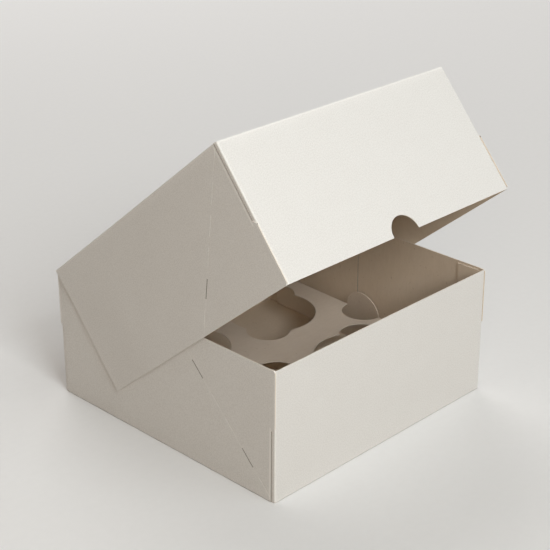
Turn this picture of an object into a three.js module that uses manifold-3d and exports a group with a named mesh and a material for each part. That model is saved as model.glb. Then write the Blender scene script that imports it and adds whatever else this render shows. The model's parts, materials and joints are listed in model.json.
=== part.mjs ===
// Cupcake box: a folded board tray, its attached lid standing half open, and the folded insert that
// holds the cakes. Millimetres, +Z up, the front wall faces -Y, and the origin is the middle of the
// tray's underside.
import * as THREE from 'three';
import { mergeVertices } from 'three/addons/utils/BufferGeometryUtils.js';
import Module from 'manifold-3d';

const wasm = await Module();
wasm.setup();

// Driving dimensions: board
const board = 0.5;
const foldRadius = 0.9;
const foldLead = 2;
const foldSteps = 5;
const glueLap = 0.02;

// Driving dimensions: tray
const trayWidth = 165;
const trayDepth = 165;
const wallHeight = 74;
const frontFlapReach = 18;
const backFlapReach = 74;
const backFlapBevel = 6;
const flapMargin = 1.5;

// Driving dimensions: stepped ends of the side panels
const tipHeight = 31.5;
const endCutback = 2.3;
const stepSlant = 2;
const cornerChamfer = 1.2;

// Driving dimensions: lid
const lidWallHeight = 74;
const lidFlapReach = 18;
const lidSideGap = 0.4;
const lidFrontGap = 0.6;
const hingeGap = 0.35;
const lidOpening = 39.65;
const beadSteps = 12;
const notchRadius = 9.5;
const notchSteps = 48;

// Driving dimensions: cut creases that climb at 45 degrees across the side panels
const creaseWidth = 0.5;
const creaseDepth = 0.2;
const creaseDash = 11;
const creaseBridge = 6;
const creaseMargin = 4;

// Driving dimensions: insert
const insertHeight = 24.9;
const insertFootGap = 0.3;
const insertSidePlay = 0.4;
const insertEndPlay = 1.3;
const insertTurn = 2.4;
const legLean = 4.5;
const holePitchX = 66.3;
const holePitchY = 73;
const holeRadius = 26.3;
const holeSteps = 56;
const lobeRadius = 12.6;
const lobeReach = 24.2;
const lobeAngle = 43;
const lobeSteps = 36;
const tabRadius = 12.7;
const tabKerf = 0.25;
const tabSteps = 48;

// How far a cutter passes the face it cuts
const past = 5;

function radians(degrees) {
  return degrees * Math.PI / 180;
}

// Solids and geometries
function solidFrom(geometry) {
  const bare = geometry.clone();
  bare.deleteAttribute('normal');
  bare.deleteAttribute('uv');
  const merged = mergeVertices(bare, 1e-5);
  return new wasm.Manifold(new wasm.Mesh({
    numProp: 3,
    vertProperties: new Float32Array(merged.attributes.position.array),
    triVerts: new Uint32Array(merged.index.array),
  }));
}

function geometryFrom(solid) {
  const mesh = solid.getMesh();
  const geometry = new THREE.BufferGeometry();
  geometry.setAttribute('position', new THREE.BufferAttribute(mesh.vertProperties, 3));
  geometry.setIndex(new THREE.BufferAttribute(mesh.triVerts, 1));
  geometry.computeVertexNormals();
  return geometry;
}

function joined(solids) {
  return solids.reduce((whole, piece) => whole.add(piece));
}

function without(solid, cutters) {
  return cutters.reduce((rest, cutter) => rest.subtract(cutter), solid);
}

function bothSides(solid) {
  return [solid, solid.mirror([1, 0, 0])];
}

// Prisms: an outline drawn in one plane, then drawn out between two values of the third axis. The
// outline's first axis is Y and its second Z in alongX, X and Z in alongY, and X and Y in alongZ.
const planeOfX = new THREE.Matrix4().makeBasis(
  new THREE.Vector3(0, 1, 0), new THREE.Vector3(0, 0, 1), new THREE.Vector3(1, 0, 0));
const planeOfY = new THREE.Matrix4().makeBasis(
  new THREE.Vector3(1, 0, 0), new THREE.Vector3(0, 0, 1), new THREE.Vector3(0, -1, 0));

function drawnOut(shape, length, start) {
  const settings = { depth: length, bevelEnabled: false, curveSegments: foldSteps };
  return new THREE.ExtrudeGeometry(shape, settings).translate(0, 0, start);
}

function alongX(shape, low, high) {
  return solidFrom(drawnOut(shape, high - low, low).applyMatrix4(planeOfX));
}

function alongY(shape, low, high) {
  return solidFrom(drawnOut(shape, high - low, -high).applyMatrix4(planeOfY));
}

function alongZ(shape, low, high) {
  return solidFrom(drawnOut(shape, high - low, low));
}

function outline(points) {
  return new THREE.Shape(points.map(([a, b]) => new THREE.Vector2(a, b)));
}

function rectangle(lowA, highA, lowB, highB) {
  return outline([[lowA, lowB], [highA, lowB], [highA, highB], [lowA, highB]]);
}

// The section of board folded through a right angle. The outer faces would meet at the corner; one
// leaf runs back along the first axis and the other runs up the second.
function foldSection(cornerA, cornerB) {
  const centreA = cornerA - foldRadius;
  const centreB = cornerB + foldRadius;
  const shape = new THREE.Shape();
  shape.moveTo(centreA - foldLead, cornerB);
  shape.lineTo(centreA, cornerB);
  shape.absarc(centreA, centreB, foldRadius, -Math.PI / 2, 0, false);
  shape.lineTo(cornerA, centreB + foldLead);
  shape.lineTo(cornerA - board, centreB + foldLead);
  shape.lineTo(cornerA - board, centreB);
  shape.absarc(centreA, centreB, foldRadius - board, 0, -Math.PI / 2, true);
  shape.lineTo(centreA - foldLead, cornerB + board);
  shape.closePath();
  return shape;
}

// One end of a side panel, from its fold up to its free edge: cut back over the lower part, where
// the wall's glue flap shows, and reaching the corner over the tip.
function steppedEnd(endY, facing, height) {
  const cutY = endY - facing * endCutback;
  const stepZ = height - tipHeight;
  return [
    [cutY, foldRadius],
    [cutY, stepZ - stepSlant],
    [endY, stepZ],
    [endY, height - cornerChamfer],
    [endY - facing * cornerChamfer, height],
  ];
}

function plainEnd(endY, height) {
  return [[endY, foldRadius], [endY, height]];
}

// Cut dashes at 45 degrees in the outer face of the right-hand side panel, climbing from the bottom
// front corner to the free edge
function creaseCuts(faceX, frontY, height) {
  const climb = height * Math.SQRT2 - 2 * creaseMargin;
  const pitch = creaseDash + creaseBridge;
  const count = Math.floor((climb + creaseBridge) / pitch);
  return Array.from({ length: count }, (unused, i) => {
    const along = (creaseMargin + i * pitch + creaseDash / 2) * Math.SQRT1_2;
    const dash = new THREE.BoxGeometry(2 * creaseDepth, creaseDash, creaseWidth);
    dash.rotateX(radians(45));
    dash.translate(faceX, frontY + along, along);
    return solidFrom(dash);
  });
}

// Both side panels with the folds that join them to the web, which is the floor or the top
function sidePanels(width, height, frontY, rearY, rearEnd) {
  const faceX = width / 2;
  const frontEnd = steppedEnd(frontY, -1, height);
  const panel = alongX(outline([...frontEnd, ...rearEnd.toReversed()]), faceX - board, faceX);
  const fold = alongY(foldSection(faceX, 0), frontEnd[0][0], rearEnd[0][0]);
  return bothSides(without(panel.add(fold), creaseCuts(faceX, frontY, height)));
}

// A wall across the front, with its fold to the web and a glue flap folded back at each end. The
// flaps lie on the inner faces of the side panels, and their feet rise at 45 degrees.
function flappedWall(width, height, wallY, flapReach, flapRise) {
  const half = width / 2;
  const flat = half - foldRadius;
  const foldY = wallY + foldRadius;
  const flapEnd = wallY + flapReach;
  const flapTop = height - flapMargin;
  const panel = alongZ(rectangle(-flat, flat, wallY, wallY + board), foldRadius, height);
  const fold = alongX(foldSection(-wallY, 0), -flat, flat).mirror([0, 1, 0]);
  const cornerFold = alongZ(foldSection(half, wallY), foldRadius + flapMargin, height);
  const flap = outline([
    [foldY, foldRadius],
    [flapEnd - flapRise, foldRadius],
    [flapEnd, foldRadius + flapRise],
    [flapEnd, flapTop],
    [foldY, flapTop],
  ]);
  const glued = alongX(flap, half - board, half + glueLap);
  return [panel, fold, ...bothSides(cornerFold), ...bothSides(glued)];
}

// Tray: floor, front and back walls with their flaps, and side panels glued over the flaps
const wallWidth = trayWidth - 2 * board;

function trayGeometry() {
  const frontY = -trayDepth / 2;
  const backY = trayDepth / 2;
  const flatX = trayWidth / 2 - foldRadius;
  const flatY = trayDepth / 2 - foldRadius;
  const frontRise = frontFlapReach - foldRadius - flapMargin;
  const floor = alongZ(rectangle(-flatX, flatX, -flatY, flatY), 0, board);
  const front = flappedWall(wallWidth, wallHeight, frontY, frontFlapReach, frontRise);
  const back = flappedWall(wallWidth, wallHeight, frontY, backFlapReach, backFlapBevel);
  const sides = sidePanels(trayWidth, wallHeight, frontY, backY, steppedEnd(backY, 1, wallHeight));
  return geometryFrom(joined([
    floor,
    ...front,
    ...back.map((solid) => solid.mirror([0, 1, 0])),
    ...sides,
  ]));
}

// Lid: drawn standing on its top like a shallow tray with no back wall, its crease along Y = 0, then
// turned over so that the crease is the X axis of its own frame
const lidFrontWidth = trayWidth + 2 * lidSideGap + 2 * board;
const lidWidth = lidFrontWidth + 2 * board;
const lidReach = trayDepth - board / 2 + lidFrontGap + board;
const hingeY = trayDepth / 2 - board / 2;
const hingeZ = wallHeight + hingeGap + board / 2;

function thumbNotch() {
  const notch = new THREE.CylinderGeometry(notchRadius, notchRadius, 2 * past, notchSteps);
  return solidFrom(notch.translate(0, -lidReach, lidWallHeight));
}

function creaseBead() {
  const bead = new THREE.CylinderGeometry(board / 2, board / 2, wallWidth - 2 * foldRadius, beadSteps);
  return solidFrom(bead.rotateZ(Math.PI / 2).translate(0, 0, board / 2));
}

function lidGeometry() {
  const flatX = lidWidth / 2 - foldRadius;
  const flapRise = lidFlapReach - foldRadius - flapMargin;
  const top = alongZ(rectangle(-flatX, flatX, -lidReach + foldRadius, 0), 0, board);
  const front = flappedWall(lidFrontWidth, lidWallHeight, -lidReach, lidFlapReach, flapRise);
  const sides = sidePanels(lidWidth, lidWallHeight, -lidReach, 0, plainEnd(0, lidWallHeight));
  const upsideDown = without(joined([top, creaseBead(), ...front, ...sides]), [thumbNotch()]);
  return geometryFrom(upsideDown.mirror([0, 0, 1])).translate(0, 0, board / 2);
}

// Insert: its folds and feet follow from the room in the tray, since it stands slightly turned
const turn = radians(insertTurn);
const roomX = wallWidth / 2 - board - insertSidePlay;
const roomY = trayDepth / 2 - board - insertEndPlay;
const footHalf = (roomX * Math.cos(turn) - roomY * Math.sin(turn)) / Math.cos(2 * turn);
const insertHalfLength = (roomY * Math.cos(turn) - roomX * Math.sin(turn)) / Math.cos(2 * turn);
const insertFoldX = footHalf - legLean;
const lean = Math.atan2(legLean, insertHeight - board);

// Places on the outer face of the right-hand leg, measured down the leg from the end of its fold
const bendX = insertFoldX - foldRadius * Math.tan((Math.PI / 2 - lean) / 2);
const bendZ = insertHeight - foldRadius;

function onLeg(down, depth) {
  const outward = foldRadius - depth;
  return [
    bendX + outward * Math.cos(lean) + down * Math.sin(lean),
    bendZ + outward * Math.sin(lean) - down * Math.cos(lean),
  ];
}

const footZ = board + insertFootGap + board * Math.sin(lean);
const legLength = (bendZ + foldRadius * Math.sin(lean) - footZ) / Math.cos(lean);

function insertHalfSection() {
  const shape = new THREE.Shape();
  shape.moveTo(-foldLead, insertHeight);
  shape.lineTo(-foldLead, insertHeight - board);
  shape.lineTo(bendX, insertHeight - board);
  shape.absarc(bendX, bendZ, foldRadius - board, Math.PI / 2, lean, true);
  shape.lineTo(...onLeg(legLength, board));
  shape.lineTo(...onLeg(legLength, 0));
  shape.lineTo(...onLeg(0, 0));
  shape.absarc(bendX, bendZ, foldRadius, lean, Math.PI / 2, false);
  shape.closePath();
  return shape;
}

// The tab is a round piece cut across the fold, which stays in line with the leg when that is folded
function standingTab() {
  const rise = tabRadius + past;
  const strip = outline([
    onLeg(legLength, 0),
    onLeg(-rise, 0),
    onLeg(-rise, board),
    onLeg(legLength, board),
  ]);
  const round = tabRadius - tabKerf;
  const [foldX, foldZ] = onLeg(-foldRadius / 2, board / 2);
  const disc = new THREE.CylinderGeometry(round, round, 2 * past, tabSteps);
  disc.rotateZ(lean - Math.PI / 2).translate(foldX, 0, foldZ);
  return alongY(strip, -tabRadius, tabRadius).intersect(solidFrom(disc));
}

function tabCut() {
  const cut = new THREE.CylinderGeometry(tabRadius, tabRadius, 2 * past, tabSteps);
  cut.rotateX(Math.PI / 2).translate(insertFoldX, 0, insertHeight - foldRadius + past);
  return solidFrom(cut);
}

// A cake cut-out: a round hole with a smaller lobe on each side of it for the fingers
function cakeCut(x, y) {
  const round = (radius, steps, alongLobes) => {
    const cut = new THREE.CylinderGeometry(radius, radius, 2 * past, steps).rotateX(Math.PI / 2);
    const angle = radians(lobeAngle);
    cut.translate(x + alongLobes * Math.cos(angle), y + alongLobes * Math.sin(angle), insertHeight);
    return solidFrom(cut);
  };
  return joined([
    round(holeRadius, holeSteps, 0),
    round(lobeRadius, lobeSteps, lobeReach),
    round(lobeRadius, lobeSteps, -lobeReach),
  ]);
}

function insertGeometry() {
  const half = alongY(insertHalfSection(), -insertHalfLength, insertHalfLength);
  const cutHalf = half.subtract(tabCut()).add(standingTab());
  const cakes = [-1, 1].flatMap((sideX) => [-1, 1].map((sideY) => (
    cakeCut(sideX * holePitchX / 2, sideY * holePitchY / 2))));
  return geometryFrom(without(joined(bothSides(cutHalf)), cakes));
}

// Materials: white pearly outside board, and the greyer board of the insert
function boardMaterial(colour, roughness) {
  return new THREE.MeshStandardMaterial({ color: colour, roughness, metalness: 0 });
}

// Assembly
const box = new THREE.Group();

const tray = new THREE.Mesh(trayGeometry(), boardMaterial(0xe6e1d9, 0.55));
tray.name = 'tray';
box.add(tray);

const insert = new THREE.Mesh(insertGeometry(), boardMaterial(0xd8cfc6, 0.7));
insert.name = 'insert';
insert.rotation.z = -turn;
box.add(insert);

const lid = new THREE.Mesh(lidGeometry(), boardMaterial(0xeae6df, 0.55));
lid.name = 'lid';
lid.position.set(0, hingeY, hingeZ);
lid.rotation.x = -radians(lidOpening);
box.add(lid);

export default box;
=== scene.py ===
# %% [markdown]
# # A cupcake box in folding board
# The model has three folded sheets: a tray, a lid that folds out of its back wall, and an
# insert with four cut-outs for the cakes. The CAD model already has their folds, flaps and cuts
# in the right place. What it lacks is how board looks: panels that are never quite flat, a
# coated outside, a bare brownish inside, cream cut edges, and folds that catch the light. This
# lesson adds those.

# %% Load the frame
import json
import math

import bmesh
import bpy
from mathutils import Matrix, Vector
from mathutils.bvhtree import BVHTree


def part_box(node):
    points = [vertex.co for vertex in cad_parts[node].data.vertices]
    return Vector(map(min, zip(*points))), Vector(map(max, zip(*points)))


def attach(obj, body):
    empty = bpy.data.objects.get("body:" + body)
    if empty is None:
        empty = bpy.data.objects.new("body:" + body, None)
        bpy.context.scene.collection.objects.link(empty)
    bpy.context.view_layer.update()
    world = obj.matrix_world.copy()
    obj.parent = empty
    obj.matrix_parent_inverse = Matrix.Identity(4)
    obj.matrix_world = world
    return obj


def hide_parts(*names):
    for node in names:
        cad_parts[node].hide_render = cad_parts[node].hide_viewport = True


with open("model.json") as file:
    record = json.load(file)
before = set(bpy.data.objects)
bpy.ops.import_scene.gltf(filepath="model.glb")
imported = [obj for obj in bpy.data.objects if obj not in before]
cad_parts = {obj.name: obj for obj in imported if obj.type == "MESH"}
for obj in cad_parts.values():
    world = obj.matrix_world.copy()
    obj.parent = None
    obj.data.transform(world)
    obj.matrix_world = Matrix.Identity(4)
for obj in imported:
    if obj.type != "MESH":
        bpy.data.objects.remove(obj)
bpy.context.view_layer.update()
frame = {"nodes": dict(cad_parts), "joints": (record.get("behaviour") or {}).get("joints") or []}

MM = 0.001

# %% [markdown]
# In the CAD model the lid is folded closed and then turned open about its crease. Its panels
# are easier to work on while it is closed, because they then lie along the axes. So this cell
# works out the matrix that turned it, and the inverse of that matrix closes it again. The
# hinge's place and the angle come from the frame: the joint's lower limit is the closed lid.
# The insert stands a little askew in the tray, as in the photograph, so it gets a matrix of its
# own too.

# %% Frames of the three sheets
INSERT_TURN = math.radians(2.4)

hinge = frame["joints"][0]
opening = -math.radians(hinge["range_deg"][0])
lid_frame = Matrix.Translation(Vector(hinge["pos_m"])) @ Matrix.Rotation(-opening, 4, "X")
insert_frame = Matrix.Rotation(-INSERT_TURN, 4, "Z")
tray_frame = Matrix.Identity(4)
print("lid open by", round(math.degrees(opening), 2), "degrees")

# %% [markdown]
# A sheet of board is modelled best from the outside in: take the exact folded solid, and only
# then bend it. The copy here keeps the points and faces and leaves the imported shading behind.
# Welding and dissolving turn the many thin triangles back into whole panels, which cut up much
# more evenly.

# %% Copy a sheet from the frame
WELD = 0.001 * MM
FLAT_ANGLE = math.radians(0.2)


def folded_sheet(node, sheet_frame):
    solid = frame["nodes"][node].data
    shell = bpy.data.meshes.new(node + "_shell")
    shell.from_pydata([v.co for v in solid.vertices], [], [p.vertices[:] for p in solid.polygons])
    sheet = bmesh.new()
    sheet.from_mesh(shell)
    bpy.data.meshes.remove(shell)
    sheet.transform(sheet_frame.inverted())
    bmesh.ops.remove_doubles(sheet, verts=sheet.verts, dist=WELD)
    bmesh.ops.dissolve_limit(
        sheet, angle_limit=FLAT_ANGLE, verts=sheet.verts, edges=sheet.edges)
    print(node, "sheet has", len(sheet.faces), "panels and facets")
    return sheet


# %% [markdown]
# A flat panel with four corners can't bend, because there is nothing between them to move.
# Subdividing the faces would spoil the fold sections and the round cut-outs, so the sheet is
# sliced by planes instead: a grid of even slices, and one more close to each fold, so that the
# fold's rounding and its pale line, part wear and part painted highlight, stay narrow.

# %% Slice a sheet into a grid
GRID = 6 * MM
FOLD_ZONE = 1.4 * MM
QUAD = 4


def slice_across(sheet, axis, places):
    normal = Vector((0, 0, 0))
    normal[axis] = 1
    for place in places:
        whole = sheet.verts[:] + sheet.edges[:] + sheet.faces[:]
        bmesh.ops.bisect_plane(
            sheet, geom=whole, dist=WELD, plane_co=normal * place, plane_no=normal)


def slice_to_grid(sheet):
    for axis in range(3):
        places = [v.co[axis] for v in sheet.verts]
        low, high = min(places), max(places)
        steps = max(1, round((high - low) / GRID))
        even = [low + (high - low) * i / steps for i in range(1, steps)]
        slice_across(sheet, axis, even + [low + FOLD_ZONE, high - FOLD_ZONE])
    bmesh.ops.triangulate(sheet, faces=[f for f in sheet.faces if len(f.verts) > QUAD])


# %% [markdown]
# One sheet shows four different surfaces: the white coating outside, bare board inside, the
# cream core wherever a blade went through, and the open creases, slits and glue-flap ends, whose
# narrow gaps get their shade painted in as a dark colour. They could be painted by hand, but the
# solid knows them. Looking into the board from a face, the other side is half a millimetre away,
# or one millimetre where a flap is glued on. From a cut edge it is much further. What is left is
# a face of the sheet, and it is the outside if it looks away from the middle of the box.

# %% Tell a face of the sheet from a cut edge
OUTSIDE, INSIDE, CUT_EDGE, PAINTED_GAP_SHADE = range(4)
BOARD = 0.5 * MM
TWO_BOARDS = 1.15 * MM
SLACK = 0.01 * MM


def surface_by_depth(tree, face, middle):
    centre = face.calc_center_median()
    behind = tree.ray_cast(centre - face.normal * SLACK, -face.normal, TWO_BOARDS)
    if behind[0] is None:
        return CUT_EDGE
    return OUTSIDE if face.normal.dot(centre - middle) > 0 else INSIDE


# %% [markdown]
# The cuts in the side panels need a closer look. A crease that climbs at 45 degrees is a row of
# dashes, and only those that have sprung open look dark: the shade in their narrow gap is painted
# into their colour. The others stay closed and keep the colour of the coating. The end of the
# long glue flap lies in its own narrow shadow on the side panel, and the slit at each front
# corner, where the side panel is cut back and the flap shows, lies in shade too, so both get the
# same painted shade. A face belongs to one of these if it lies at the right depth in the panel
# and looks the right way.

# %% Sort the faces into surfaces
CUT_DEPTH = 0.2 * MM
CREASE_MARGIN = 4 * MM
DASH_PITCH = 17 * MM
FLAPS_DEEP = 1.25 * MM
FLAP_END_WITHIN = 20 * MM
SLIT_HEIGHT = 42.6 * MM
MOSTLY, HARDLY = 0.9, 0.1


def dash_number(height):
    return int((height * math.sqrt(2) - CREASE_MARGIN) // DASH_PITCH)


def surface_of_cut(face, outer_x, open_dashes):
    centre, normal = face.calc_center_median(), face.normal
    depth = outer_x - abs(centre.x)
    floor_of_cut = abs(normal.x) > MOSTLY and abs(depth - CUT_DEPTH) < SLACK
    diagonal = abs(abs(normal.y) - abs(normal.z)) < HARDLY and abs(normal.x) < HARDLY
    if floor_of_cut or (diagonal and 0 < depth < CUT_DEPTH):
        return PAINTED_GAP_SHADE if dash_number(abs(centre.z)) in open_dashes else OUTSIDE
    near_middle = abs(normal.y) > MOSTLY and abs(centre.y) < FLAP_END_WITHIN
    flap_end = BOARD < depth < FLAPS_DEEP and near_middle
    slit = 0 < depth < BOARD and normal.y < -MOSTLY and abs(centre.z) < SLIT_HEIGHT
    return PAINTED_GAP_SHADE if flap_end or slit else None


def sort_faces(sheet, middle, outer_x=None, open_dashes=()):
    sheet.normal_update()
    tree = BVHTree.FromBMesh(sheet)
    for face in sheet.faces:
        face.material_index = surface_by_depth(tree, face, middle)
        if outer_x is not None:
            cut = surface_of_cut(face, outer_x, open_dashes)
            if cut is not None:
                face.material_index = cut


# %% [markdown]
# Board that has been creased, glued and opened a few times leans and bows by fractions of a
# millimetre. Moving points at random would look like crumpled foil, so each sheet gets a smooth
# field made from two curves: a crown, which is greatest in the middle of a panel and dies away
# at its folds, and an easing, which goes softly from nothing to everything.

# %% Two soft curves for bending
def crown(t):
    return max(0.0, 1 - t * t)


def eased(t):
    t = min(max(t, 0.0), 1.0)
    return t * t * (3 - 2 * t)


# %% [markdown]
# The tray's side walls lean in a little towards their free rims, and they bow, while the back
# wall holds their rear ends in place. The front wall sinks in at the middle of its rim. Lean
# and bow both grow with height, because the floor's folds hold the walls at the bottom.

# %% Bend the tray
tray_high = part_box("tray")[1]
tray_half, tray_height = tray_high.x, tray_high.z
RIM_LEAN = 0.7 * MM
SIDE_BOW = 0.5 * MM
FRONT_BOW = 0.35 * MM
LEAN_POWER = 1.5
BOW_RATE = 1.6
HELD_FROM, HELD_OVER = 0.3, 0.6


def bend_tray(p):
    u, v, w = p.x / tray_half, p.y / tray_half, p.z / tray_height
    free = 1 - eased((v - HELD_FROM) / HELD_OVER)
    lean = RIM_LEAN * w ** LEAN_POWER * free + SIDE_BOW * crown(v) * eased(BOW_RATE * w)
    sink = FRONT_BOW * crown(u) * w * w * max(0.0, -v)
    return Vector((p.x - u * lean, p.y + sink, p.z))


print("tray, mm:", round(2 * tray_half / MM, 1), "wide and", round(tray_height / MM, 1), "high")

# %% [markdown]
# The lid tapers the other way: it is narrowest along its top folds and opens towards its free
# edges, which is what lets it slide over the tray. Its sides have no back wall to hold them, so
# their rear ends lie closer to the tray. The reach is from the crease to the outside of the
# lid's front, and the drop is from the middle of the top board to the free edge, both as the
# CAD model has them.

# %% Bend the lid
lid_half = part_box("lid")[1].x
LID_REACH = 165.85 * MM
LID_DROP = 73.75 * MM
TOP_TAPER = 0.8 * MM
REAR_DRAW = 0.8 * MM
LID_SIDE_BOW = 0.3 * MM
LID_FRONT_BOW = 0.3 * MM
TOP_CROWN = 0.4 * MM
TAPER_RATE, REAR_RATE, DRAW_RATE = 2.5, 4, 3


def bend_lid(p):
    u, s, w = p.x / lid_half, -p.y / LID_REACH, -p.z / LID_DROP
    w = min(max(w, 0.0), 1.0)
    along = 2 * s - 1
    taper = TOP_TAPER * (1 - w) * eased(s * TAPER_RATE)
    draw = REAR_DRAW * (1 - eased(s * REAR_RATE)) * eased(w * DRAW_RATE)
    bow = LID_SIDE_BOW * crown(along) * w * w
    forward = LID_FRONT_BOW * crown(u) * w * w * eased(along)
    rise = TOP_CROWN * crown(u) * crown(along) * (1 - w) ** 2
    return Vector((p.x + u * (bow - taper - draw), p.y - forward, p.z + rise))


print("lid, mm:", round(2 * lid_half / MM, 1), "wide")

# %% [markdown]
# The insert is a bridge: its legs stand near the tray's side walls, and the top between them
# carries the cakes. Four large cut-outs leave little board there, so it sags by half a
# millimetre in the middle.

# %% Bend the insert
INSERT_TOP = 24.9 * MM
INSERT_FOLD = 73.4 * MM
INSERT_END = 77.5 * MM
INSERT_SAG = 0.5 * MM


def bend_insert(p):
    hollow = crown(p.x / INSERT_FOLD) * crown(p.y / INSERT_END)
    return Vector((p.x, p.y, p.z - INSERT_SAG * hollow * eased(p.z / INSERT_TOP)))


print("insert sags by", INSERT_SAG / MM, "mm in its middle")

# %% [markdown]
# The finishes need to know where on the box a point was before it bent: how far across it is,
# how far from the front fold, and how far from the panel that the wall stands on. Object
# coordinates would do for the tray, but they run askew to the tilted lid. So each mesh carries
# that place as a vector, and with it two numbers: one is 1 on a fold, and the other says how
# hard the crease there was pressed. A point is on a fold where two of its three distances to
# the outer planes are small.

# %% Where a point is on its sheet
FOLD_CORE = 0.6 * MM
LID_PRESSED_FROM, LID_PRESSED_TO = 46 * MM, 56 * MM


def near_fold(x_gap, y_gap, z_gap):
    second = sorted((abs(x_gap), abs(y_gap), abs(z_gap)))[1]
    return 1 - eased((second - FOLD_CORE) / (FOLD_ZONE - FOLD_CORE))


def tray_place(p):
    place = (p.x, p.y + tray_half, p.z)
    return place, near_fold(tray_half - abs(p.x), tray_half - abs(p.y), p.z), 1.0


def lid_place(p):
    place = (p.x, p.y + LID_REACH, -p.z)
    pressed = eased((-p.z - LID_PRESSED_FROM) / (LID_PRESSED_TO - LID_PRESSED_FROM))
    return place, near_fold(lid_half - abs(p.x), p.y + LID_REACH, p.z), pressed


def insert_place(p):
    return (p.x, p.y, p.z), 0.0, 0.0


# %% [markdown]
# Now the pieces themselves. Each one is sliced, sorted, bent and turned back into place, then
# rides on its CAD body and stands for its CAD node. Smooth shading is broken at angles sharper
# than the facets of a fold, and weighted normals keep the wide panels flat right up to the
# fold, so that the fold shows as a thin bright line and not as a soft smear.

# %% Make a piece from a sheet
SHARP = math.radians(35)


def finished_piece(name, sheet, sheet_frame, bend, place_of, finishes):
    places = [place_of(v.co) for v in sheet.verts]
    for vert in sheet.verts:
        vert.co = bend(vert.co)
    mesh = bpy.data.meshes.new(name)
    sheet.to_mesh(mesh)
    sheet.free()
    board_place = mesh.attributes.new("board_place", "FLOAT_VECTOR", "POINT")
    board_place.data.foreach_set("vector", [c for place, *_ in places for c in place])
    for column, attribute in enumerate(("fold", "pressed"), start=1):
        layer = mesh.attributes.new(attribute, "FLOAT", "POINT")
        layer.data.foreach_set("value", [row[column] for row in places])
    for finish in finishes:
        mesh.materials.append(finish)
    mesh.transform(sheet_frame)
    mesh.shade_smooth()
    mesh.set_sharp_from_angle(angle=SHARP)
    piece = bpy.data.objects.new(name, mesh)
    bpy.context.scene.collection.objects.link(piece)
    flat_panels = piece.modifiers.new("flat_panels", "WEIGHTED_NORMAL")
    flat_panels.keep_sharp = True
    print(name, "has", len(mesh.polygons), "faces")
    return piece


# %% [markdown]
# Every finish starts from the same few nodes. These helpers keep the recipes short: `add` makes
# a node, sets its values and joins its inputs, and the others are the nodes that board needs
# most. A Mix node lists the sockets of all its data types, so those for colours go by number.
# Noise scales count features in a metre, because the places that the meshes carry are in
# metres.

# %% Helpers for finishes
MIX_FAC, MIX_FIRST, MIX_SECOND, MIX_RESULT = 0, 6, 7, 2


def new_finish(name):
    finish = bpy.data.materials.new(name)
    finish.use_nodes = True
    return finish, finish.node_tree, finish.node_tree.nodes["Principled BSDF"]


def fill_socket(tree, socket, value):
    if isinstance(value, bpy.types.NodeSocket):
        tree.links.new(value, socket)
    else:
        socket.default_value = value


def add(tree, kind, inputs=None, **settings):
    made = tree.nodes.new("ShaderNode" + kind)
    for key, value in settings.items():
        setattr(made, key, value)
    for key, value in (inputs or {}).items():
        fill_socket(tree, made.inputs[key], value)
    return made


def place_vector(tree):
    return add(tree, "Attribute", attribute_name="board_place").outputs["Vector"]


def carried(tree, attribute):
    return add(tree, "Attribute", attribute_name=attribute).outputs["Fac"]


# %% Helpers for grain and blending
def noise(tree, vector, scale, detail=2.0, roughness=0.5):
    values = {"Vector": vector, "Scale": scale, "Detail": detail, "Roughness": roughness}
    return add(tree, "TexNoise", values).outputs["Fac"]


def spread(tree, fac, low, high, from_low=0.3, from_high=0.7):
    values = {"Value": fac, 1: from_low, 2: from_high, 3: low, 4: high}
    return add(tree, "MapRange", values).outputs["Result"]


def maths(tree, operation, *values):
    return add(tree, "Math", dict(enumerate(values)), operation=operation).outputs[0]


def band(tree, value, low, low_full, high_full, high):
    rising = spread(tree, value, 0.0, 1.0, low, low_full)
    falling = spread(tree, value, 1.0, 0.0, high_full, high)
    return maths(tree, "MULTIPLY", rising, falling)


def blended(tree, fac, first, second):
    values = {MIX_FAC: fac, MIX_FIRST: first, MIX_SECOND: second}
    return add(tree, "Mix", values, data_type="RGBA").outputs[MIX_RESULT]


def join(tree, output, shader, socket):
    tree.links.new(output, shader.inputs[socket])


def bumped(tree, shader, height, distance, strength=1.0):
    values = {"Height": height, "Distance": distance, "Strength": strength}
    join(tree, add(tree, "Bump", values).outputs["Normal"], shader, "Normal")


# %% [markdown]
# The outside is clay-coated white board: close to neutral, faintly warm, and smooth enough to
# have a soft sheen. One flat white would look like plastic. Seen close, the coating has a fine
# pearly grain, and a slower cloudiness from the fibres below it.

# %% Coated outside: body and pearl
WHITE = (0.775, 0.772, 0.757, 1)
WHITE_LOW = (0.755, 0.749, 0.731, 1)
CHALK = (0.87, 0.867, 0.852, 1)
WEAR_AND_HIGHLIGHT = (0.94, 0.935, 0.915, 1)
PEARLS, CLOUDS, FIBRES, CRACKS = 1500, 70, 900, 1500
PEARL_SHARE = 0.8
PEARL_FROM, PEARL_TO = 0.38, 0.62

coated, tree, shader = new_finish("coated_board")
place = place_vector(tree)
pearl = noise(tree, place, PEARLS, detail=2, roughness=0.6)
clouds = noise(tree, place, CLOUDS, detail=4, roughness=0.6)
body = blended(tree, spread(tree, clouds, 0.0, 1.0), WHITE_LOW, WHITE)
pearliness = spread(tree, pearl, 0.0, PEARL_SHARE, PEARL_FROM, PEARL_TO)
grain = blended(tree, pearliness, body, CHALK)

# %% [markdown]
# Between the cuts of the 45-degree creases the board is only pressed, which leaves a pale line:
# partly the pressed coating, partly a painted highlight where the pressed ridge catches the
# light.
# It runs where a point is as far from the front fold as from the tray's floor or the lid's top,
# so the difference of the two distances draws it. Beside the slits at the front corners a pale
# strip is painted as a highlight along their edge.

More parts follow.
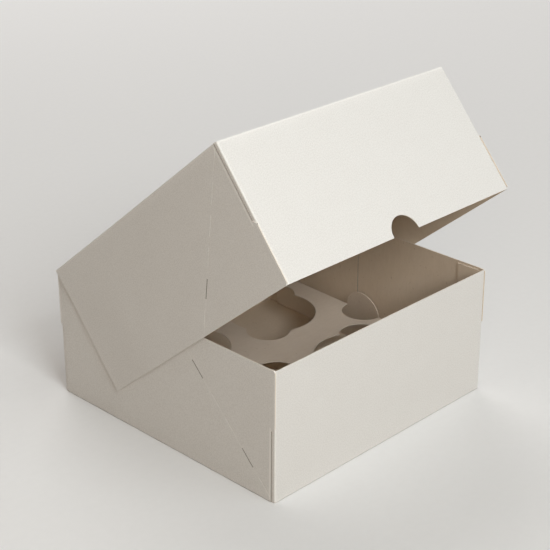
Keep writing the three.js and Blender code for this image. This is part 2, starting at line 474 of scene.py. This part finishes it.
# %% Coated outside: pressed lines and painted highlights beside the slits
LINE_CORE, LINE_EDGE = 0.2 * MM, 0.6 * MM
LINE_SHARE = 0.7
SLIT_HIGHLIGHT_BEHIND = (2.6 * MM, 2.75 * MM, 3.3 * MM, 3.9 * MM)
SLIT_HIGHLIGHT_ALONG = (1.0 * MM, 1.6 * MM, SLIT_HEIGHT - BOARD, SLIT_HEIGHT)

axes = add(tree, "SeparateXYZ", {"Vector": place}).outputs
off_line = maths(tree, "ABSOLUTE", maths(tree, "SUBTRACT", axes["Y"], axes["Z"]))
line = spread(tree, off_line, LINE_SHARE, 0.0, LINE_CORE, LINE_EDGE)
pressed_line_and_highlight = maths(tree, "MULTIPLY", line, carried(tree, "pressed"))
lined = blended(tree, pressed_line_and_highlight, grain, CHALK)

# a painted highlight beside each slit at the front corners
behind_slit = band(tree, axes["Y"], *SLIT_HIGHLIGHT_BEHIND)
along_slit = band(tree, axes["Z"], *SLIT_HIGHLIGHT_ALONG)
slit_highlight = maths(tree, "MULTIPLY", behind_slit, along_slit)
slit_highlighted = blended(tree, slit_highlight, lined, WEAR_AND_HIGHLIGHT)

# %% [markdown]
# Along a fold the coating stretches over the bend and turns chalky, more in one spot than in
# the next, and the pale line there is also a painted highlight of the light that the fold
# catches.
# The pearl also breaks up the sheen a little, and the fibres lift the surface by hundredths of a
# millimetre.

# %% Coated outside: folds and sheen
CRACKED_LEAST = 0.45
SHEEN, SHEEN_DULL = 0.40, 0.54
FIBRE_LIFT = 0.03 * MM

cracks = noise(tree, place, CRACKS, detail=3, roughness=0.7)
cracked = spread(tree, cracks, CRACKED_LEAST, 1.0)
# pale fold line: the coating's wear, plus a painted highlight
fold_wear_and_highlight = maths(tree, "MULTIPLY", carried(tree, "fold"), cracked)
join(tree, blended(tree, fold_wear_and_highlight, slit_highlighted, WEAR_AND_HIGHLIGHT), shader, "Base Color")
join(tree, spread(tree, pearl, SHEEN, SHEEN_DULL), shader, "Roughness")
fibres = noise(tree, place, FIBRES, detail=3, roughness=0.6)
bumped(tree, shader, fibres, FIBRE_LIFT, strength=0.35)
print("coated_board has", len(tree.nodes), "nodes")

# %% [markdown]
# The inside is the same board without its coating: brownish, quite matt, with a fibrous grain
# drawn out along the way the board ran through the machine, and a few darker specks from the
# pulp. The insert is a paler and greyer board of the same kind, cut with its grain the other
# way.

# %% Uncoated board, for the inside and the insert
DRAWN, SLOW, FINE, PULP = 700, 55, 2000, 480
TONE_FROM, TONE_TO = 0.7, 1.3
PULP_FROM, PULP_TO, PULP_SHARE = 0.70, 0.78, 0.5
DULL, DULLER = 0.78, 0.92
MATT = 0.3
FINE_LIFT = 0.05 * MM


def uncoated_board(name, light, dark, speck, streaks):
    finish, tree, shader = new_finish(name)
    place = place_vector(tree)
    drawn = add(tree, "Mapping", {"Vector": place, "Scale": streaks}).outputs["Vector"]
    grain = noise(tree, drawn, DRAWN, detail=4, roughness=0.65)
    slow = noise(tree, place, SLOW, detail=3, roughness=0.6)
    tone = maths(tree, "ADD", grain, slow)
    body = blended(tree, spread(tree, tone, 0.0, 1.0, TONE_FROM, TONE_TO), dark, light)
    specks = noise(tree, place, PULP, detail=1)
    pulp = spread(tree, specks, 0.0, PULP_SHARE, PULP_FROM, PULP_TO)
    join(tree, blended(tree, pulp, body, speck), shader, "Base Color")
    join(tree, spread(tree, grain, DULL, DULLER), shader, "Roughness")
    shader.inputs["Specular IOR Level"].default_value = MATT
    fine = noise(tree, place, FINE, detail=3, roughness=0.7)
    bumped(tree, shader, fine, FINE_LIFT, strength=0.4)
    return finish


uncoated = uncoated_board(
    "uncoated_board", light=(0.79, 0.685, 0.565, 1), dark=(0.735, 0.63, 0.51, 1),
    speck=(0.55, 0.45, 0.35, 1), streaks=(1, 1, 0.25))
insert_board = uncoated_board(
    "insert_board", light=(0.82, 0.735, 0.645, 1), dark=(0.77, 0.68, 0.59, 1),
    speck=(0.60, 0.50, 0.42, 1), streaks=(0.3, 1, 1))
print("bare boards:", uncoated.name, "and", insert_board.name)

# %% [markdown]
# A blade leaves the core of the board open: cream fibres, rough and a little uneven. The open
# creases and slits are the same core seen at the bottom of a narrow gap, where little light
# gets in, so they look much darker. A gap that narrow would need far more light paths than it
# is worth, so its colour is simply darker.

# %% Cut edges
LAYERS = 2600
CORE_ROUGHNESS = 0.9
CORE_LIFT = 0.08 * MM


def cut_core(name, light, dark):
    finish, tree, shader = new_finish(name)
    layers = noise(tree, place_vector(tree), LAYERS, detail=3, roughness=0.7)
    body = blended(tree, spread(tree, layers, 0.0, 1.0), dark, light)
    join(tree, body, shader, "Base Color")
    shader.inputs["Roughness"].default_value = CORE_ROUGHNESS
    shader.inputs["Specular IOR Level"].default_value = MATT
    bumped(tree, shader, layers, CORE_LIFT, strength=0.5)
    return finish


cut_edge = cut_core("cut_edge", light=(0.87, 0.81, 0.74, 1), dark=(0.77, 0.70, 0.62, 1))
# open creases, flap ends and slits: this dark colour is painted shade of their narrow gaps
painted_gap_shade = cut_core("painted_gap_shade", light=(0.29, 0.26, 0.23, 1), dark=(0.18, 0.16, 0.14, 1))
white_board = (coated, uncoated, cut_edge, painted_gap_shade)
print("finishes of the white board:", [finish.name for finish in white_board])

# %% [markdown]
# At a corner three folds meet, and there the board is crushed into a small rounded nose. The
# CAD sheets stop just short of it, which leaves a pinhole. Each corner gets the piece that is
# missing: an eighth of a hollow ball, drawn on down the wall and back along the side, as thick
# as the board. Both parts are patches with two layers, so one helper makes the layers and
# closes them along their border.

# %% A small closed patch of board
FOLD_RADIUS = 0.9 * MM


def border_of(rows, columns):
    down = [(i, 0) for i in range(rows)]
    across = [(rows - 1, j) for j in range(1, columns)]
    up = [(i, columns - 1) for i in range(rows - 2, -1, -1)]
    home = [(0, j) for j in range(columns - 2, 0, -1)]
    return down + across + up + home


def closed_patch(sheet, point_at, rows, columns):
    layers = []
    for radius in (FOLD_RADIUS, FOLD_RADIUS - BOARD):
        layer = [[point_at(radius, i, j) for j in range(columns)] for i in range(rows)]
        layers.append([[sheet.verts.new(point) for point in row] for row in layer])
    faces = []
    for layer in layers:
        for near, far in zip(layer, layer[1:]):
            faces += [(near[j], near[j + 1], far[j + 1], far[j]) for j in range(columns - 1)]
    border = border_of(rows, columns)
    outer, inner = layers
    for (i, j), (k, m) in zip(border, border[1:] + border[:1]):
        faces.append((outer[i][j], outer[k][m], inner[k][m], inner[i][j]))
    made = [sheet.faces.new(face) for face in faces]
    bmesh.ops.recalc_face_normals(sheet, faces=made)
    points = [vert for layer in layers for row in layer for vert in row]
    bmesh.ops.remove_doubles(sheet, verts=points, dist=WELD)


# %% [markdown]
# The first row of the nose is let down along the wall, so that the two overlap, and its other
# rows climb over the ball. The second patch follows the fold back along the side. Signs for the
# three directions turn the same corner into any other.

# %% Crush a corner
CORNER_STEPS = 5
DOWN_WALL = 1.5 * MM
ALONG_SIDE = 1.4 * MM


def crush_corner(sheet, corner, out_x, out_y, out_z):
    centre = Vector(corner) - FOLD_RADIUS * Vector((out_x, out_y, out_z))
    right_angle = [math.pi / 2 * i / CORNER_STEPS for i in range(CORNER_STEPS + 1)]

    def nose(radius, i, j):
        turn = right_angle[j]
        rise = right_angle[i - 1] if i else 0.0
        drop = 0.0 if i else DOWN_WALL
        flat = radius * math.cos(rise)
        x, y = flat * math.cos(turn), flat * math.sin(turn)
        return centre + Vector((out_x * x, out_y * y, out_z * (radius * math.sin(rise) - drop)))

    def side(radius, i, j):
        x, z = radius * math.cos(right_angle[j]), radius * math.sin(right_angle[j])
        return centre + Vector((out_x * x, -out_y * i * ALONG_SIDE, out_z * z))

    closed_patch(sheet, nose, CORNER_STEPS + 2, CORNER_STEPS + 1)
    closed_patch(sheet, side, 2, CORNER_STEPS + 1)


# %% [markdown]
# The tray carries everything: it stands on the table, the insert stands in it, and the lid
# hangs from its back wall. All four of its lower corners are crushed. In each of its creases,
# the second dash from the bottom and the fifth have sprung open.

# %% Tray
TRAY_OPEN_DASHES = (1, 4)

tray_sheet = folded_sheet("tray", tray_frame)
slice_to_grid(tray_sheet)
for out_x in (-1, 1):
    for out_y in (-1, 1):
        corner = (out_x * (tray_half - BOARD), out_y * tray_half, 0)
        crush_corner(tray_sheet, corner, out_x, out_y, -1)
tray_middle = Vector((0, 0, tray_height / 2))
sort_faces(tray_sheet, tray_middle, tray_half, TRAY_OPEN_DASHES)
tray = finished_piece("tray_board", tray_sheet, tray_frame, bend_tray, tray_place, white_board)
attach(tray, "tray")
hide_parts("tray")

# %% [markdown]
# The lid is made the same way, in the frame in which it is closed. Only its two front corners
# have a nose, because its sides are free at the back. One dash of each crease has sprung open,
# and between the dashes the crease is pressed only near the free edge.

# %% Lid
LID_OPEN_DASHES = (4,)

lid_sheet = folded_sheet("lid", lid_frame)
slice_to_grid(lid_sheet)
for out_x in (-1, 1):
    corner = (out_x * (lid_half - BOARD), -LID_REACH, BOARD / 2)
    crush_corner(lid_sheet, corner, out_x, -1, 1)
lid_middle = Vector((0, -LID_REACH / 2, -LID_DROP / 2))
sort_faces(lid_sheet, lid_middle, lid_half, LID_OPEN_DASHES)
lid = finished_piece("lid_board", lid_sheet, lid_frame, bend_lid, lid_place, white_board)
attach(lid, "lid")
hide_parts("lid")

# %% [markdown]
# The insert has no coating, so both of its faces get the same finish, and the cut edges of its
# holes and tabs stay cream. It isn't fixed to anything: it rides with the tray because it
# stands in it.

# %% Insert
insert_sheet = folded_sheet("insert", insert_frame)
slice_to_grid(insert_sheet)
sort_faces(insert_sheet, Vector((0, 0, 0)))
insert_finishes = (insert_board, insert_board, cut_edge)
insert = finished_piece(
    "insert_board", insert_sheet, insert_frame, bend_insert, insert_place, insert_finishes)
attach(insert, "tray")
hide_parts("insert")

# %% [markdown]
# The tray and the lid are one sheet in the real box, joined along the crease. In the model a
# hair's gap parts them so that the lid can turn. A rounded strip on top of the back wall closes
# it: it has the same centre as the crease, so the lid turns round it, and the gap stays closed
# at every angle.

# %% Crease between tray and lid
CREASE_ROUND = 0.27 * MM
CREASE_STEPS = 10
CREASE_DROP = 1.0 * MM
CREASE_HALF = 81.1 * MM
crease_centre = Vector(hinge["pos_m"])


def crease_section():
    arc = [math.pi * i / CREASE_STEPS for i in range(CREASE_STEPS + 1)]
    top = [(math.cos(a) * CREASE_ROUND, math.sin(a) * CREASE_ROUND) for a in arc]
    return [(CREASE_ROUND, -CREASE_DROP), *top, (-CREASE_ROUND, -CREASE_DROP)]


def crease_mesh():
    section = crease_section()
    strip = bmesh.new()
    steps = round(2 * CREASE_HALF / GRID)
    rings = []
    for i in range(steps + 1):
        x = -CREASE_HALF + 2 * CREASE_HALF * i / steps
        ring = [(x, crease_centre.y + y, crease_centre.z + z) for y, z in section]
        rings.append([strip.verts.new(point) for point in ring])
    for near, far in zip(rings, rings[1:]):
        for i in range(len(section)):
            j = (i + 1) % len(section)
            strip.faces.new((near[i], near[j], far[j], far[i]))
    strip.faces.new(rings[0][::-1])
    strip.faces.new(rings[-1])
    bmesh.ops.recalc_face_normals(strip, faces=strip.faces)
    for face in strip.faces:
        outer = face.calc_center_median().y > crease_centre.y - SLACK
        face.material_index = OUTSIDE if outer else INSIDE
    return strip


crease = finished_piece(
    "crease_strip", crease_mesh(), tray_frame, lambda p: p, tray_place, (coated, uncoated))
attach(crease, "tray")

# %% [markdown]
# The box stands on a plain pale floor that is wide enough to fill the picture. It could be
# plain white, but then the white board would melt into it, so it is a light grey with a trace
# of dust. What the camera sees is paler than what the floor throws back at the box, and away
# from the box a faint glow, which only the camera sees, keeps it even and leaves the box's own
# shadow alone.

# %% Floor
FLOOR_HALF = 8.0
FLOOR_DROP = 0.05 * MM
DUST = 220
FLOOR_PALE, FLOOR_PALER = (0.76, 0.765, 0.77, 1), (0.79, 0.795, 0.80, 1)
FLOOR_BOUNCE = (0.50, 0.475, 0.445, 1)
FLOOR_ROUGHNESS, FLOOR_GLOSS = 0.8, 0.2
GLOW, GLOW_FROM, GLOW_TO = 0.20, 0.15, 1.3


def floor_finish():
    finish, tree, shader = new_finish("pale_floor")
    place = add(tree, "TexCoord").outputs["Object"]
    dust = noise(tree, place, DUST, detail=4, roughness=0.6)
    pale = blended(tree, dust, FLOOR_PALE, FLOOR_PALER)
    seen = add(tree, "LightPath").outputs["Is Camera Ray"]
    join(tree, blended(tree, seen, FLOOR_BOUNCE, pale), shader, "Base Color")
    shader.inputs["Roughness"].default_value = FLOOR_ROUGHNESS
    shader.inputs["Specular IOR Level"].default_value = FLOOR_GLOSS
    away = add(tree, "VectorMath", {0: place}, operation="LENGTH").outputs["Value"]
    far = spread(tree, away, 0.0, GLOW, GLOW_FROM, GLOW_TO)
    shader.inputs["Emission Color"].default_value = (1.0, 1.0, 1.0, 1)
    join(tree, maths(tree, "MULTIPLY", far, seen), shader, "Emission Strength")
    return finish


floor_mesh = bpy.data.meshes.new("floor")
directions = ((-1, -1), (1, -1), (1, 1), (-1, 1))
corners = [(x * FLOOR_HALF, y * FLOOR_HALF, -FLOOR_DROP) for x, y in directions]
floor_mesh.from_pydata(corners, [], [(0, 1, 2, 3)])
floor_mesh.materials.append(floor_finish())
floor = bpy.data.objects.new("floor", floor_mesh)
bpy.context.scene.collection.objects.link(floor)
print("floor is", 2 * FLOOR_HALF, "m wide")

# %% [markdown]
# The lid's front is the brightest surface, the tray's front a little less bright, and
# everything that faces left lies in warm shade. Two large soft lamps in front give the first
# two: a lower one that also reaches in under the lid, and a high one that favours the lid's
# tilted front. A small warm lamp low on the left lifts the shade. A fourth stands behind, where
# the picture doesn't see its effect, so that the box isn't left dark from there.

# %% Lamps
COOL, COOLER = (0.965, 1.0, 1.0), (0.96, 1.0, 1.0)
WARM, AMBER = (1.0, 0.98, 0.96), (1.0, 0.83, 0.66)


def soft_lamp(name, place, aim_height, size, power, colour):
    data = bpy.data.lights.new(name, "AREA")
    data.shape = "SQUARE"
    data.size = size
    data.energy = power
    data.color = colour
    lamp = bpy.data.objects.new(name, data)
    lamp.location = place
    lamp.rotation_mode = "QUATERNION"
    to_box = Vector((0, 0, aim_height)) - Vector(place)
    lamp.rotation_quaternion = to_box.to_track_quat("-Z", "Y")
    bpy.context.scene.collection.objects.link(lamp)
    print(name, "stands", round(to_box.length, 2), "m away")


soft_lamp("front_lamp", (-0.48, -1.46, 1.17), aim_height=0.07, size=0.7, power=16.8, colour=COOL)
soft_lamp("high_lamp", (0.10, -0.93, 2.06), aim_height=0.10, size=1.2, power=11.8, colour=COOLER)
soft_lamp("side_lamp", (-0.84, -0.86, 0.66), aim_height=0.06, size=0.5, power=3.1, colour=AMBER)
soft_lamp("back_lamp", (0.75, 1.45, 1.50), aim_height=0.08, size=1.4, power=17, colour=WARM)

# %% [markdown]
# A dim warm world fills what the lamps leave dark. Other views look past the floor's edge, and
# there the world gives the camera and the reflections the floor's pale tone, while the light
# that it sheds on the box stays dim.

# %% World
FILL = {"Color": (1.0, 0.82, 0.64, 1), "Strength": 0.13}
PAPER = {"Color": (0.66, 0.665, 0.67, 1), "Strength": 1.0}

world = bpy.data.worlds.new("studio")
world.use_nodes = True
bpy.context.scene.world = world
sky = world.node_tree
for made in list(sky.nodes):
    sky.nodes.remove(made)
rays = add(sky, "LightPath").outputs
seen = maths(sky, "MAXIMUM", rays["Is Camera Ray"], rays["Is Glossy Ray"])
seen = maths(sky, "MAXIMUM", seen, rays["Is Transmission Ray"])
fill = add(sky, "Background", FILL).outputs[0]
paper = add(sky, "Background", PAPER).outputs[0]
mix = add(sky, "MixShader", {0: seen, 1: fill, 2: paper})
sky.links.new(mix.outputs[0], add(sky, "OutputWorld").inputs["Surface"])
bpy.context.scene.view_settings.view_transform = "Standard"
print("the world has", len(sky.nodes), "nodes")

# %% [markdown]
# The camera's place was found by fitting a pinhole view to the corners of the box: it looks
# down by 25 degrees, from the left and the front, with a long lens from less than a metre away.

# %% Camera
CAMERA_TURN = math.radians(45.58)
CAMERA_RISE = math.radians(24.81)
CAMERA_DISTANCE = 0.812
CAMERA_AIM = Vector((0.0022, 0.0, 0.0702))
LENS, SENSOR = 97.3, 36

back = Vector((
    -math.sin(CAMERA_TURN) * math.cos(CAMERA_RISE),
    -math.cos(CAMERA_TURN) * math.cos(CAMERA_RISE),
    math.sin(CAMERA_RISE),
))
view = bpy.data.cameras.new("view")
view.lens = LENS
view.sensor_width = SENSOR
camera = bpy.data.objects.new("camera", view)
camera.location = CAMERA_AIM + back * CAMERA_DISTANCE
camera.rotation_mode = "QUATERNION"
camera.rotation_quaternion = (-back).to_track_quat("-Z", "Y")
bpy.context.scene.collection.objects.link(camera)
bpy.context.scene.camera = camera
print("camera at, m:", [round(c, 3) for c in camera.location])
